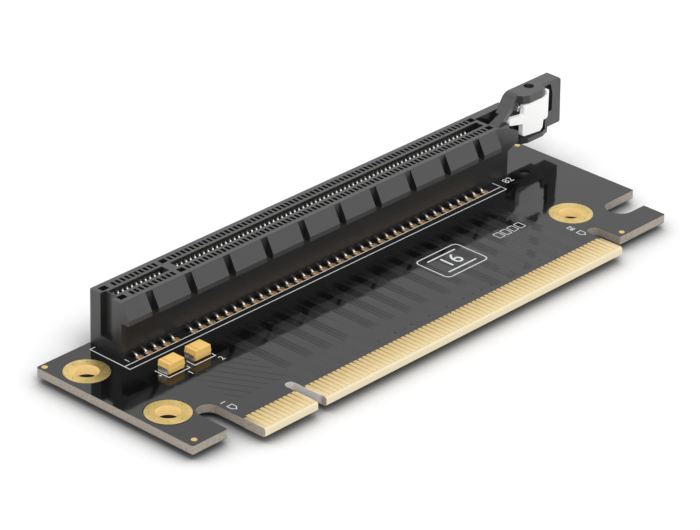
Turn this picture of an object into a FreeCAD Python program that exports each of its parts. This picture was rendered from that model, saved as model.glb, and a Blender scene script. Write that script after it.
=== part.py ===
import FreeCAD, Part
import os
import math

os.makedirs("parts", exist_ok=True)
doc = FreeCAD.newDocument("pcie_riser_card")

# Frame: X runs along the slot from the capacitor end to the latch end, with zero on the centre of
# the key notch in the card edge. Y runs from the insertion edge to the back of the board. Z is up
# out of the board, with zero on its top face. Sizes are in millimetres.

# Sizes
sizes = [
    ("board_thickness", 1.57, "board thickness"),
    ("board_left", -24.0, "left end of the board"),
    ("board_right", 90.4, "right end of the back part of the board"),
    ("board_back", 38.35, "back edge of the board"),
    ("left_ear_front", 4.1, "front edge of the left ear"),
    ("corner_round", 0.25, "rounding of the outer board corners"),
    ("tab_left", -12.6, "left end of the card edge"),
    ("tab_right", 72.6, "right end of the card edge"),
    ("key_half", 0.95, "half the width of the key notch"),
    ("key_depth", 7.65, "depth of the key notch from the insertion edge"),
    ("left_notch_width", 4.0, "width of the notch beside the left ear"),
    ("left_notch_depth", 12.1, "inner end of the notch beside the left ear"),
    ("right_notch_width", 2.7, "width of the notch beside the right ear"),
    ("right_notch_depth", 8.35, "inner end of the notch beside the right ear"),
    ("right_ear_front", 2.65, "front edge of the right ear"),
    ("right_ear_right", 87.1, "right edge of the right ear"),
    ("side_slot_front", 7.2, "front edge of the open slot in the right side"),
    ("side_slot_width", 5.0, "width of the open slot in the right side"),
    ("side_slot_end", 81.2, "inner end of the open slot in the right side"),
    ("bevel_run", 0.3, "length of the bevel on the insertion edge"),
    ("bevel_drop", 0.25, "height of the bevel on the insertion edge"),
    ("hole_left_column", -19.4, "place of the two left mounting holes along X"),
    ("hole_right_column", 76.0, "place of the right mounting hole along X"),
    ("hole_front_row", 14.0, "place of the front mounting holes along Y"),
    ("back_hole_inset", 6.45, "distance of the back mounting hole from the back edge"),
    ("hole_back_row", "=board_back - back_hole_inset", "place of the back mounting hole along Y"),
    ("hole_radius", 2.0, "radius of the plated mounting hole"),
    ("plating_wall", 0.12, "wall of the plated barrel"),
    ("plating_bite", 0.02, "bite of the barrel into the board"),
    ("ring_radius", 3.75, "radius of the ring around a mounting hole"),
    ("foil", 0.05, "height of the gold on the board"),
    ("finger_width", 0.7, "width of an edge finger"),
    ("finger_end", 4.9, "inner end of the edge fingers"),
    ("finger_pitch", 1.0, "pitch of the contacts"),
    ("spot_radius", 0.5, "radius of an alignment spot"),
    ("slot_shift", 1.2, "place of the slot key along X"),
    ("slot_inset", 3.85, "distance of the slot line from the back edge of the board"),
    ("slot_line", "=board_back - slot_inset", "centre line of the slot along Y"),
    ("housing_left", -12.75, "left end of the slot housing"),
    ("housing_right", 79.2, "right end of the slot housing wall"),
    ("housing_half", 3.5, "half the width of the slot housing"),
    ("housing_height", 9.8, "height of the slot housing"),
    ("cavity_half", 0.875, "half the width of the card slot"),
    ("cavity_floor", 2.2, "floor of the card slot"),
    ("cavity_end_left", 12.68, "left end of the card slot from its key"),
    ("cavity_end_right", 74.4, "right end of the card slot from its key"),
    ("key_web_half", 0.88, "half the width of the key web"),
    ("window_width", 0.6, "width of a terminal window"),
    ("window_length", 1.2, "length of a terminal window across the housing"),
    ("window_offset", 2.05, "distance of the window rows from the slot line"),
    ("window_depth", 1.1, "depth of a terminal window"),
    ("rib_depth", 1.55, "how far a rib stands out of the wall"),
    ("rib_gap", 1.5, "gap between two ribs"),
    ("rib_pitch", 8.59, "pitch of the ribs"),
    ("rib_start", -6.09, "left end of the second rib"),
    ("rib_low", 6.2, "underside of the ribs"),
    ("rib_face", 7.0, "lower end of the sloped rib face"),
    ("rib_last", 75.6, "right end of the last rib"),
    ("groove_half", 1.3, "half the width of the groove in the left end"),
    ("groove_depth", 1.15, "depth of the groove in the left end"),
    ("groove_floor", 2.3, "lower end of the groove in the left end"),
    ("bracket_half", 1.38, "half the thickness of the latch bracket"),
    ("bracket_top", 12.85, "top of the latch bracket"),
    ("arm_height", 1.45, "height of the upper bracket arm"),
    ("bracket_reach", 12.6, "distance of the end wall from the housing wall"),
    ("end_wall_left", "=housing_right + bracket_reach", "inner face of the end wall"),
    ("end_wall_thick", 3.35, "thickness of the end wall"),
    ("bracket_right", "=end_wall_left + end_wall_thick", "right end of the latch bracket"),
    ("end_wall_low", 4.2, "lower end of the end wall"),
    ("lower_arm_low", 3.75, "underside of the lower bracket arm"),
    ("lower_arm_top", 4.65, "top of the lower bracket arm"),
    ("boss_reach", 2.65, "how far the pivot bosses stand out from the slot line"),
    ("boss_front", "=slot_line - boss_reach", "front of the pivot bosses"),
    ("pivot_x", "=end_wall_left - 3.6", "latch pivot along X"),
    ("boss_left", "=pivot_x - 4.6", "left end of the pivot bosses"),
    ("pivot_radius", 0.92, "radius of the pivot holes"),
    ("pivot_clearance", 0.06, "clearance of the pin in the pivot holes"),
    ("latch_reach", 2.5, "distance of the front face of the latch from the slot line"),
    ("latch_front", "=slot_line - latch_reach", "front face of the latch"),
    ("latch_thickness", 0.95, "thickness of the latch plate"),
    ("latch_hub_radius", 1.2, "radius of the latch hub"),
    ("latch_tip", "=pivot_x - 7.75", "tip of the latch tongue"),
    ("latch_tongue_low", 8.5, "underside of the tip of the tongue"),
    ("latch_tongue_high", 9.75, "top of the tip of the tongue"),
    ("latch_shoulder", "=pivot_x - 4.1", "left side of the latch below its tongue"),
    ("latch_foot", 4.9, "lower end of the latch"),
    ("latch_head", 11.15, "top of the latch plate under the boss"),
    ("latch_fin", 12.2, "top of the upright fin at the right of the latch"),
    ("latch_right", "=pivot_x + 2.55", "right side of the latch"),
    ("latch_neck_half", 1.1, "half the width of the neck from the plate to the hub"),
    ("latch_hub_low", 5.2, "lower face of the latch hub"),
    ("latch_hub_high", 10.5, "upper face of the latch hub"),
    ("arm_foot", "=housing_right - 0.2", "foot of the back plate of the bracket along X"),
    ("arm_foot_height", 7.2, "foot of the back plate of the bracket along Z"),
    ("arm_slope_end", "=arm_foot + 3.9", "upper end of the sloped edge of the back plate"),
    ("arm_width", 1.9, "height of the link between the housing and the bracket"),
    ("back_plate", 0.5, "thickness of the back plate of the bracket"),
    ("back_plate_right", "=pivot_x - 1.9", "right end of the back plate"),
    ("recess_depth", 0.8, "depth of the recess beside the latch fin"),
    ("recess_right", "=end_wall_left + 1.3", "right end of the recess beside the latch fin"),
    ("ramp_foot", "=housing_right - 2.6", "foot of the slanted arm along X"),
    ("ramp_width", 2.1, "width of the slanted arm"),
    ("ramp_thick", 1.25, "thickness of the slanted arm"),
    ("back_wall_reach", 5.2, "how far the back wall runs on behind the slanted arm"),
    ("back_wall_thick", 1.6, "thickness of the back wall behind the slanted arm"),
    ("cover_thick", 0.75, "thickness of the wall behind the latch"),
    ("spring_radius", 0.55, "radius of the latch spring"),
    ("spring_hole", 0.33, "radius of the hole through the latch spring"),
    ("spring_x", "=pivot_x - 4.52", "centre of the latch spring along X"),
    ("spring_height", 10.6, "height of the latch spring"),
    ("spot_inset", 0.9, "distance of the alignment spots from the board edges"),
    ("end_slot_low", 7.1, "lower end of the recess in the end wall"),
    ("base_undercut", 0.6, "height of the relief under the housing wall"),
    ("tail_size", 0.4, "thickness of a solder tail"),
    ("tail_below", 1.0, "length of a solder tail below the board"),
    ("tail_reach", 4.95, "distance of the front row of tails from the slot line"),
    ("tail_front_row", "=slot_line - tail_reach", "place of the front row of tails"),
    ("tail_row_step", 2.3, "distance between the rows of tails"),
    ("tail_rise", 0.95, "height of the visible tails"),
    ("tail_pitch", 2.0, "pitch of the tails in one row"),
    ("tail_first", -10.5, "first tail of the front row"),
    ("capacitor_length", 3.5, "length of a capacitor body"),
    ("capacitor_width", 2.7, "width of a capacitor body"),
    ("capacitor_height", 1.95, "height of a capacitor body"),
    ("capacitor_a_x", -11.35, "left end of the front capacitor"),
    ("capacitor_a_y", 21.85, "front of the front capacitor"),
    ("capacitor_b_x", -5.45, "left end of the back capacitor"),
    ("capacitor_b_y", 21.95, "front of the back capacitor"),
]

sheet = doc.addObject("Spreadsheet::Sheet", "Sizes")
for row, (word, amount, note) in enumerate(sizes, start=1):
    sheet.set("A%d" % row, word)
    sheet.set("B%d" % row, str(amount))
    sheet.set("C%d" % row, note)
    sheet.setAlias("B%d" % row, word)
doc.recompute()


def val(word):
    return float(sheet.get(word))


# Helpers
def tie(thing, prop, rule):
    if isinstance(rule, (int, float)):
        thing.setExpression(prop, repr(float(rule)))
    else:
        words = rule
        for word, amount, note in sorted(sizes, key=lambda item: -len(item[0])):
            words = words.replace(word, "<" + word + ">")
            words = words.replace("<<" + word + ">>", "<" + word + ">")
        words = unmark(words)
        thing.setExpression(prop, words)


def unmark(words):
    out = ""
    depth = 0
    token = ""
    for letter in words:
        if letter == "<":
            depth += 1
            if depth == 1:
                token = ""
            continue
        if letter == ">":
            depth -= 1
            if depth == 0:
                out += "Sizes." + token
            continue
        if depth:
            token += letter
        else:
            out += letter
    return out


def block(name, low, size):
    thing = doc.addObject("Part::Box", name)
    tie(thing, "Length", size[0])
    tie(thing, "Width", size[1])
    tie(thing, "Height", size[2])
    tie(thing, "Placement.Base.x", low[0])
    tie(thing, "Placement.Base.y", low[1])
    tie(thing, "Placement.Base.z", low[2])
    return thing


def rod(name, centre, radius, height):
    thing = doc.addObject("Part::Cylinder", name)
    tie(thing, "Radius", radius)
    tie(thing, "Height", height)
    tie(thing, "Placement.Base.x", centre[0])
    tie(thing, "Placement.Base.y", centre[1])
    tie(thing, "Placement.Base.z", centre[2])
    return thing


def solid_of(name, shape):
    thing = doc.addObject("Part::Feature", name)
    thing.Shape = shape
    return thing


def cut(name, base, tool):
    thing = doc.addObject("Part::Cut", name)
    thing.Base = base
    thing.Tool = tool
    return thing


def fuse(name, parts):
    thing = doc.addObject("Part::MultiFuse", name)
    thing.Shapes = parts
    return thing


def prism(name, points, axis, start, length):
    # A closed outline in the plane across the axis, pushed along that axis
    corners = []
    for first, second in points:
        if axis == "x":
            corners.append(FreeCAD.Vector(start, first, second))
        elif axis == "y":
            corners.append(FreeCAD.Vector(first, start, second))
        else:
            corners.append(FreeCAD.Vector(first, second, start))
    corners.append(corners[0])
    face = Part.Face(Part.makePolygon(corners))
    way = {"x": FreeCAD.Vector(length, 0, 0), "y": FreeCAD.Vector(0, length, 0),
           "z": FreeCAD.Vector(0, 0, length)}
    return face.extrude(way[axis])


def cube(x, y, z, dx, dy, dz):
    return Part.makeBox(dx, dy, dz, FreeCAD.Vector(x, y, z))


def contact_place(number):
    # Contacts 1 to 11 stand left of the key and 12 to 82 right of it, 3 pitches across the key
    pitch = val("finger_pitch")
    if number <= 11:
        return (number - 12.5) * pitch
    return (number - 10.5) * pitch


# Board outline with its notches
def board_outline():
    left = val("board_left")
    right = val("board_right")
    back = val("board_back")
    r = val("corner_round")
    pts = []

    def line(x, y):
        pts.append((x, y))

    def arc(cx, cy, radius, a0, a1, steps):
        for k in range(steps + 1):
            a = math.radians(a0 + (a1 - a0) * k / steps)
            pts.append((cx + radius * math.cos(a), cy + radius * math.sin(a)))

    ear_y = val("left_ear_front")
    notch_r = val("left_notch_width") / 2
    notch_cx = val("tab_left") - notch_r
    notch_cy = val("left_notch_depth") - notch_r
    arc(left + r, ear_y + r, r, 180, 270, 3)
    arc(notch_cx - notch_r - r, ear_y + r, r, 270, 360, 3)
    arc(notch_cx, notch_cy, notch_r, 180, 0, 10)
    line(val("tab_left"), 0)
    key = val("key_half")
    line(-key, 0)
    arc(0, val("key_depth") - key, key, 180, 0, 8)
    line(key, 0)
    line(val("tab_right"), 0)
    small_r = val("right_notch_width") / 2
    small_cx = val("tab_right") + small_r
    arc(small_cx, val("right_notch_depth") - small_r, small_r, 180, 0, 8)
    ear_y = val("right_ear_front")
    arc(small_cx + small_r + r * 0.5, ear_y + r * 0.5, r * 0.5, 180, 270, 2)
    ear_x = val("right_ear_right")
    arc(ear_x - r * 0.5, ear_y + r * 0.5, r * 0.5, 270, 360, 2)
    slot_r = val("side_slot_width") / 2
    slot_y = val("side_slot_front")
    line(ear_x, slot_y)
    arc(val("side_slot_end") + slot_r, slot_y + slot_r, slot_r, 270, 90, 12)
    line(right, slot_y + 2 * slot_r)
    arc(right - r, back - r, r, 0, 90, 3)
    arc(left + r, back - r, r, 90, 180, 3)
    return pts


thick = val("board_thickness")
outline = solid_of("BoardOutline", prism("outline", board_outline(), "z", -thick, thick))
hole_places = [
    ("hole_left_column", "hole_front_row"),
    ("hole_left_column", "hole_back_row"),
    ("hole_right_column", "hole_front_row"),
]
drills = []
for k, (px, py) in enumerate(hole_places):
    drills.append(rod("Drill%d" % k, (px, py, "-board_thickness - 1"),
                      "hole_radius + plating_wall - plating_bite", "board_thickness + 2"))
run = val("bevel_run")
drop = val("bevel_drop")
reach_x = val("tab_right") - val("tab_left") + 2
wedges = []
wedges.append(prism("w", [(-1, 0.5), (run, 0.5), (run, 0), (0, -drop), (-1, -drop)], "x",
                    val("tab_left") - 1, reach_x))
wedges.append(prism("w", [(-1, -thick - 0.5), (run, -thick - 0.5), (run, -thick), (0, drop - thick),
                          (-1, drop - thick)], "x", val("tab_left") - 1, reach_x))
bevels = solid_of("EdgeBevels", Part.makeCompound(wedges))
board = cut("pcb_board", outline, fuse("BoardCuts", drills + [bevels]))

# Edge fingers on both faces
finger_w = val("finger_width")
finger_y = val("finger_end")
foil = val("foil")
for name, z in (("edge_fingers_top", 0.0), ("edge_fingers_bottom", -thick - foil)):
    pads = []
    for number in range(1, 83):
        long_y = finger_y
        start_y = run + 0.05
        pads.append(cube(contact_place(number) - finger_w / 2, start_y, z, finger_w, long_y - start_y, foil))
    solid_of(name, Part.makeCompound(pads))


def many_sided(name, sides, centre, radius, height):
    thing = doc.addObject("Part::Prism", name)
    thing.Polygon = sides
    tie(thing, "Circumradius", radius)
    tie(thing, "Height", height)
    tie(thing, "Placement.Base.x", centre[0])
    tie(thing, "Placement.Base.y", centre[1])
    tie(thing, "Placement.Base.z", centre[2])
    return thing


# Plated barrels with a wide ring on each face
for k, (px, py) in enumerate(hole_places):
    name = ("mounting_ring_front_left", "mounting_ring_back_left", "mounting_ring_right")[k]
    barrel = many_sided("Barrel%d" % k, 16, (px, py, "-board_thickness - foil"), "hole_radius + plating_wall",
                        "board_thickness + 2 * foil")
    upper = many_sided("UpperRing%d" % k, 28, (px, py, 0), "ring_radius", "foil")
    lower = many_sided("LowerRing%d" % k, 16, (px, py, "-board_thickness - foil"), "ring_radius", "foil")
    bore = rod("Bore%d" % k, (px, py, "-board_thickness - 1"), "hole_radius", "board_thickness + 2")
    cut(name, fuse("Plating%d" % k, [barrel, upper, lower]), bore)

# Alignment spots in the corners
inset = val("spot_inset")
left_edge = val("board_left")
spot_places = [
    (left_edge + inset, val("board_back") - inset),
    (left_edge + 1.7 * inset, val("left_ear_front") + 1.4 * inset),
    (val("tab_right") + val("right_notch_width") + 1.6 * inset, val("right_ear_front") + inset),
    (val("board_right") - inset, val("board_back") - inset),
]
spots = []
spot_r = val("spot_radius")
for sx, sy in spot_places:
    rim = []
    for k in range(14):
        turn = 2 * math.pi * k / 14
        rim.append((sx + spot_r * math.cos(turn), sy + spot_r * math.sin(turn)))
    spots.append(prism("spot", rim, "z", 0, foil))
solid_of("alignment_spots", Part.makeCompound(spots))

# Slot housing: body, ribs, end block and latch bracket
line_y = val("slot_line")
half = val("housing_half")
front = line_y - half
high = val("housing_height")
shift = val("slot_shift")
body = block("HousingBody", ("housing_left", "slot_line - housing_half", 0),
             ("housing_right - housing_left", "2 * housing_half", "housing_height"))
rib_gap = val("rib_gap")
rib_reach = val("rib_depth")
rib_profile = [(front + 0.2, high - 0.05), (front - 0.02, high - 0.05), (front - rib_reach, val("rib_face")),
               (front - rib_reach, val("rib_low")), (front + 0.2, val("rib_low"))]
ribs = []
rib_from = val("housing_left")
rib_to = val("rib_start") - rib_gap
ribs.append(prism("rib", rib_profile, "x", rib_from, rib_to - rib_from))
for k in range(9):
    rib_from = val("rib_start") + k * val("rib_pitch")
    ribs.append(prism("rib", rib_profile, "x", rib_from, val("rib_pitch") - rib_gap))
rib_from = val("rib_start") + 9 * val("rib_pitch")
ribs.append(prism("rib", rib_profile, "x", rib_from, val("rib_last") - rib_from))
rib_set = solid_of("Ribs", Part.makeCompound(ribs))

# The bracket is a closed frame: rising arm, upper arm, end wall and lower arm
thin = val("bracket_half")
top = val("bracket_top")
arm = val("arm_height")
b_right = val("bracket_right")
wall_x = val("end_wall_left")
foot_x = val("arm_foot")
foot_z = val("arm_foot_height")
bend_x = val("arm_slope_end")
arm_w = val("arm_width")
low_z = val("lower_arm_low")
low_top = val("lower_arm_top")
frame_outer = [(foot_x + 1.4, foot_z), (bend_x + 0.1, top - 0.6), (bend_x + 0.45, top - 0.3),
               (bend_x + 0.95, top - 0.08), (bend_x + 1.5, top),
               (b_right - 0.5, top), (b_right, top - 0.5), (b_right + 0.3, val("end_wall_low") + 0.2),
               (b_right + 0.1, val("end_wall_low")), (wall_x, val("end_wall_low")), (wall_x, low_z),
               (bend_x + 3.5, low_z), (bend_x + 1.4, low_z + 0.8),
               (bend_x - 0.5, foot_z - arm_w), (foot_x, foot_z - arm_w), (foot_x, foot_z - 0.6)]
window = [(foot_x - 1.0, foot_z + 0.2), (foot_x - 1.0, top + 1.0), (bend_x - 0.6, top + 1.0),
          (bend_x + 0.3, top - arm - 0.5), (bend_x + 1.6, top - arm), (wall_x, top - arm), (wall_x, low_top),
          (bend_x + 2.0, low_top), (bend_x + 0.1, low_top + 1.3), (foot_x + arm_w + 0.8, foot_z + 0.2)]
plate_right = val("back_plate_right")
through = [(plate_right, top - arm), (wall_x, top - arm), (wall_x, low_top), (plate_right, low_top)]
bracket_frame = solid_of("BracketFrame", prism("f", frame_outer, "y", line_y - thin, 2 * thin))
front_void = prism("v", window, "y", line_y - thin - 1, 2 * thin + 1 - val("back_plate"))
back_void = prism("w", through, "y", line_y - thin - 1, 2 * thin + 2)
bracket_void = solid_of("BracketVoid", Part.makeCompound([front_void, back_void]))
bracket = cut("Bracket", bracket_frame, bracket_void)
# Closed wall behind the latch, and the back wall of the slot that runs on to it
cover_line = [(foot_x + 1.7, foot_z), (bend_x + 0.9, top - 1.0), (wall_x + 0.5, top - 1.0),
              (wall_x + 0.5, low_z + 0.3), (bend_x + 1.6, low_z + 0.3), (foot_x + 1.7, foot_z - arm_w + 0.3)]
cover = solid_of("LatchBackWall", prism("c", cover_line, "y", line_y + thin - 0.1, val("cover_thick")))
back_wall = block("BackWallEnd",
                  ("housing_right - 0.3", "slot_line + housing_half - back_wall_thick", 0),
                  ("back_wall_reach + 0.3", "back_wall_thick", "housing_height"))
boss_y = val("boss_front")
boss_l = val("boss_left")
pivot_x = val("pivot_x")
boss_plan = [(boss_l, line_y - thin + 0.2), (boss_l + 0.6, boss_y + 0.5), (boss_l + 1.9, boss_y),
             (pivot_x + 0.6, boss_y), (pivot_x + 1.5, boss_y + 0.2), (pivot_x + 1.7, boss_y + 0.6),
             (pivot_x + 1.75, line_y - thin + 0.2)]
upper_boss = solid_of("UpperBoss", prism("b", boss_plan, "z", top - arm, arm))
lower_plan = [(boss_l, line_y - thin + 0.2), (boss_l + 0.6, boss_y + 0.5), (boss_l + 1.9, boss_y),
              (wall_x - 2.4, boss_y), (wall_x - 1.3, boss_y + 0.35), (wall_x - 0.5, boss_y + 1.0),
              (wall_x - 0.4, line_y - thin + 0.2)]
lower_boss = solid_of("LowerBoss", prism("b", lower_plan, "z", low_z, low_top - low_z))
stop_y = line_y - thin
stop_plan = [(wall_x - 1.3, boss_y + 0.5), (wall_x - 0.65, boss_y + 0.5), (wall_x - 0.45, boss_y + 0.7),
             (wall_x - 0.45, stop_y), (wall_x + 0.1, stop_y), (wall_x + 0.1, stop_y + 0.5),
             (wall_x - 1.3, stop_y + 0.5)]
stop_block = solid_of("StopBlock", prism("s", stop_plan, "z", low_z, low_top - low_z + 2))


def frame_wire(x, y, z, across, high_of):
    corners = [FreeCAD.Vector(x, y, z), FreeCAD.Vector(x, y + across, z),
               FreeCAD.Vector(x, y + across, z + high_of), FreeCAD.Vector(x, y, z + high_of)]
    corners.append(corners[0])
    return Part.makePolygon(corners)


# Slanted arm from the top of the front wall to the bracket
ramp_w = val("ramp_width")
ramp_t = val("ramp_thick")
ramp_end = bend_x + 0.5
ramp_low = frame_wire(val("ramp_foot"), front + 0.2, high - ramp_t, ramp_w, ramp_t)
ramp_across = 2 * thin - val("back_plate") / 2
ramp_high = frame_wire(ramp_end, line_y - thin, top - arm - 0.35, ramp_across, arm - 0.07)
ramp = solid_of("SlantedArm", Part.makeLoft([ramp_low, ramp_high], True, True))
h_right = val("housing_right")
post_low = foot_z - arm_w
post_outline = [(h_right - 0.3, post_low - 0.65), (h_right + 0.05, post_low - 0.65),
                (h_right + 1.9, post_low + 0.2),
                (h_right + 2.6, post_low + 0.15), (h_right + 2.6, foot_z + 0.4), (h_right + 1.3, foot_z + 1.0),
                (h_right, high - 0.8), (h_right - 0.3, high - 0.8)]
post = solid_of("EndPost", prism("p", post_outline, "y", front, 2 * half - 1.0))

slot_left = shift - val("cavity_end_left")
slot_right = shift + val("cavity_end_right")
cavity = val("cavity_half")
web = val("key_web_half")
floor_z = val("cavity_floor")
hollow = []
hollow.append(cube(slot_left, line_y - cavity, floor_z, shift - web - slot_left, 2 * cavity, 12))
hollow.append(cube(shift + web, line_y - cavity, floor_z, slot_right - shift - web, 2 * cavity, 12))
# Terminal windows on both sides of the slot, wide ones beside the ends and the key
wide = val("window_width")
deep = val("window_depth")
across = val("window_length")
windows = []
for side in (-1, 1):
    wy = line_y + side * val("window_offset") - across / 2
    windows.append(cube(val("housing_left") + 0.75, wy, high - deep, 2.5 * wide, across, 2))
    windows.append(cube(shift - 0.1, wy, high - deep, 2.25 * wide, across, 2))
    for number in range(2, 12):
        wx = contact_place(number) + shift - wide / 2 + 0.2
        windows.append(cube(wx, wy, high - deep, wide, across, 2))
    for k in range(73):
        wx = contact_place(13) + shift - wide / 2 - 0.5 + k
        windows.append(cube(wx, wy, high - deep, wide if k < 72 else 2.25 * wide, across, 2))
# Blind groove in the left end, pocket beside the bracket, slot in the end wall
groove = cube(val("housing_left") - 1, line_y - val("groove_half") - 0.1, val("groove_floor"),
              1 + val("groove_depth"), 2 * val("groove_half"), 12)
pocket = cube(slot_right + 0.8, line_y - 1.1, 4.0, h_right + 0.1 - slot_right - 0.8, 3.0, high)
slot_low = val("end_slot_low")
recess_left = pivot_x + 1.75
recess_end = val("recess_right")
recess_line = [(recess_left, slot_low), (recess_end, slot_low), (recess_end, top - 2.7),
               (recess_end - 0.6, top - 0.55), (recess_left, top - 0.55)]
end_slot = prism("recess", recess_line, "y", line_y - thin - 3, 3 + val("recess_depth"))
relief_left = val("tail_first") - 1.0
relief = cube(relief_left, front - 0.5, -0.5, val("tail_pitch") * 41 + 2.0, 1.1, val("base_undercut") + 0.5)
all_cuts = hollow + windows + [groove, pocket, end_slot, relief]
housing_cuts = solid_of("HousingCuts", Part.makeCompound(all_cuts))
pivot_bore = rod("PivotBore", ("pivot_x", "slot_line", 0), "pivot_radius", 20)
housing_parts = [body, rib_set, bracket, cover, back_wall, upper_boss, lower_boss, stop_block, ramp, post]
whole = fuse("HousingWhole", housing_parts)
housing = cut("slot_housing", cut("HousingMachined", whole, housing_cuts), pivot_bore)

# Latch, its pin and its spring
lf = val("latch_front")
tip = val("latch_tip")
tongue_low = val("latch_tongue_low")
tongue_high = val("latch_tongue_high")
shoulder = val("latch_shoulder")
foot = val("latch_foot")
head = val("latch_head")
l_right = val("latch_right")
fin = val("latch_fin")
latch_outline = [
    (tip, tongue_low + 0.3), (tip + 0.05, tongue_high - 0.35), (tip + 0.5, tongue_high),
    (shoulder + 0.15, tongue_high - 0.4), (shoulder + 0.2, head - 0.15), (shoulder + 0.4, head),
    (l_right - 0.6, head), (l_right - 0.6, fin - 0.2), (l_right - 0.4, fin), (l_right - 0.1, fin),
    (l_right, fin - 0.2), (l_right, foot + 2.25), (l_right - 0.2, foot + 1.95), (l_right - 1.15, foot + 1.85),
    (l_right - 1.3, foot + 0.45), (l_right - 1.9, foot), (shoulder + 0.5, foot + 0.4),
    (shoulder + 0.1, foot + 0.6), (shoulder, foot + 0.95), (shoulder, tongue_low - 0.75),
    (tip + 0.3, tongue_low),
]
plate = solid_of("LatchPlate", prism("l", latch_outline, "y", lf, val("latch_thickness")))
hub = rod("LatchHub", ("pivot_x", "slot_line", "latch_hub_low"), "latch_hub_radius",
          "latch_hub_high - latch_hub_low")
neck = block("LatchNeck",
             ("pivot_x - latch_neck_half", "latch_front + latch_thickness / 2", "latch_hub_low + 0.2"),
             ("2 * latch_neck_half", "slot_line - latch_front - latch_thickness / 2",
              "latch_hub_high - latch_hub_low - 0.3"))
pin_bore = rod("LatchBore", ("pivot_x", "slot_line", 0), "pivot_radius - pivot_clearance", 20)
latch = cut("latch", fuse("LatchWhole", [plate, hub, neck]), pin_bore)
pin = rod("latch_pin", ("pivot_x", "slot_line", "lower_arm_low + 0.25"), "pivot_radius - pivot_clearance",
          "bracket_top - lower_arm_low - 1.2")


def ring_of(radius, x, z, y_from, length, sides):
    rim = []
    for k in range(sides):
        turn = 2 * math.pi * k / sides
        rim.append((x + radius * math.cos(turn), z + radius * math.sin(turn)))
    return prism("ring", rim, "y", y_from, length)


spring_z = val("spring_height")
spring_x = val("spring_x")
spring_start = lf + 0.3
spring_long = line_y + thin - val("back_plate") + 0.1 - spring_start
coil = ring_of(val("spring_radius"), spring_x, spring_z, spring_start, spring_long, 16)
coil = coil.cut(ring_of(val("spring_hole"), spring_x, spring_z, spring_start - 1, spring_long + 2, 12))
solid_of("latch_spring", coil)

# Contact blades inside the slot, one row on each wall
for name, side in (("contact_row_front", -1), ("contact_row_back", 1)):
    blades = []
    for number in range(1, 83):
        bx = contact_place(number) + shift - 0.15
        wall = line_y + side * cavity
        spring = [(wall + side * 0.2, floor_z + 0.4), (wall - side * 0.62, high * 0.63),
                  (wall + side * 0.2, high - 0.35)]
        blades.append(prism("c", spring, "x", bx, 0.3))
    solid_of(name, Part.makeCompound(blades))

# Solder tails in four rows
tail = val("tail_size")
tail_end = -thick - val("tail_below")
for row in range(4):
    tails = []
    row_y = val("tail_front_row") + row * val("tail_row_step")
    for k in range(41):
        tx = val("tail_first") + k * val("tail_pitch") + (2.0 if k > 4 else 0.0)
        tx = tx + (1.0 if row % 2 else 0.0)
        if row == 0:
            rise = val("tail_rise")
            inner = front + 1.1
            bent = [(row_y - tail / 2, tail_end), (row_y + tail / 2, tail_end),
                    (row_y + tail / 2, rise - tail * 1.2), (inner, rise - tail * 1.2),
                    (inner, rise - 0.1), (row_y, rise), (row_y - tail / 2, rise - 0.25)]
            tails.append(prism("t", bent, "x", tx - tail / 2, tail))
        else:
            tails.append(cube(tx - tail / 2, row_y - tail / 2, tail_end, tail, tail, 0.3 - tail_end))
    solid_of("solder_tails_row_%d" % (row + 1), Part.makeCompound(tails))

# Capacitors with folded end terminals
for letter in ("a", "b"):
    cx = val("capacitor_%s_x" % letter)
    cy = val("capacitor_%s_y" % letter)
    cl = val("capacitor_length")
    cw = val("capacitor_width")
    ch = val("capacitor_height")
    lean = 0.08
    side_profile = [(cy, 0.1), (cy + cw, 0.1), (cy + cw, ch * 0.5), (cy + cw - lean, ch), (cy + lean, ch),
                    (cy, ch * 0.5)]
    solid_of("capacitor_%s_body" % letter, prism("c", side_profile, "x", cx, cl))
    feet = []
    fw = 2.0
    fy = cy + (cw - fw) / 2
    feet.append(cube(cx - 0.15, fy, 0.0, 0.15, fw, ch * 0.55))
    feet.append(cube(cx + cl, fy, 0.0, 0.15, fw, ch * 0.55))
    low_feet = [cube(cx - 0.15, fy, 0.0, 0.95, fw, 0.1), cube(cx + cl - 0.8, fy, 0.0, 0.95, fw, 0.1)]
    pair = [feet[0].fuse(low_feet[0]).removeSplitter(), feet[1].fuse(low_feet[1]).removeSplitter()]
    solid_of("capacitor_%s_terminals" % letter, Part.makeCompound(pair))

doc.recompute()

nodes = [
    "pcb_board", "edge_fingers_top", "edge_fingers_bottom",
    "mounting_ring_front_left", "mounting_ring_back_left",
    "mounting_ring_right", "alignment_spots", "slot_housing", "contact_row_front", "contact_row_back",
    "solder_tails_row_1", "solder_tails_row_2", "solder_tails_row_3", "solder_tails_row_4",
    "capacitor_a_body",
    "capacitor_a_terminals", "capacitor_b_body", "capacitor_b_terminals",
    "latch", "latch_pin", "latch_spring",
]
faults = 0
for thing in doc.Objects:
    if "Invalid" in thing.State or "Error" in thing.State:
        print("fault in", thing.Name, thing.State)
        faults += 1
for name in nodes:
    thing = doc.getObject(name)
    thing.Label = name
    shape = thing.Shape
    if not shape.isValid() or not shape.Solids:
        print("not valid", name, shape.isValid(), len(shape.Solids))
        faults += 1
    shape.exportStep("parts/%s.step" % name)
    box = shape.BoundBox
    print("%-26s solids %3d  x %.2f %.2f  y %.2f %.2f  z %.2f %.2f" % (
        name, len(shape.Solids), box.XMin, box.XMax, box.YMin, box.YMax, box.ZMin, box.ZMax))
print("faults", faults)
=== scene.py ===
import math

import bmesh
import bpy
import numpy as np
from mathutils import Matrix, Vector


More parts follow.
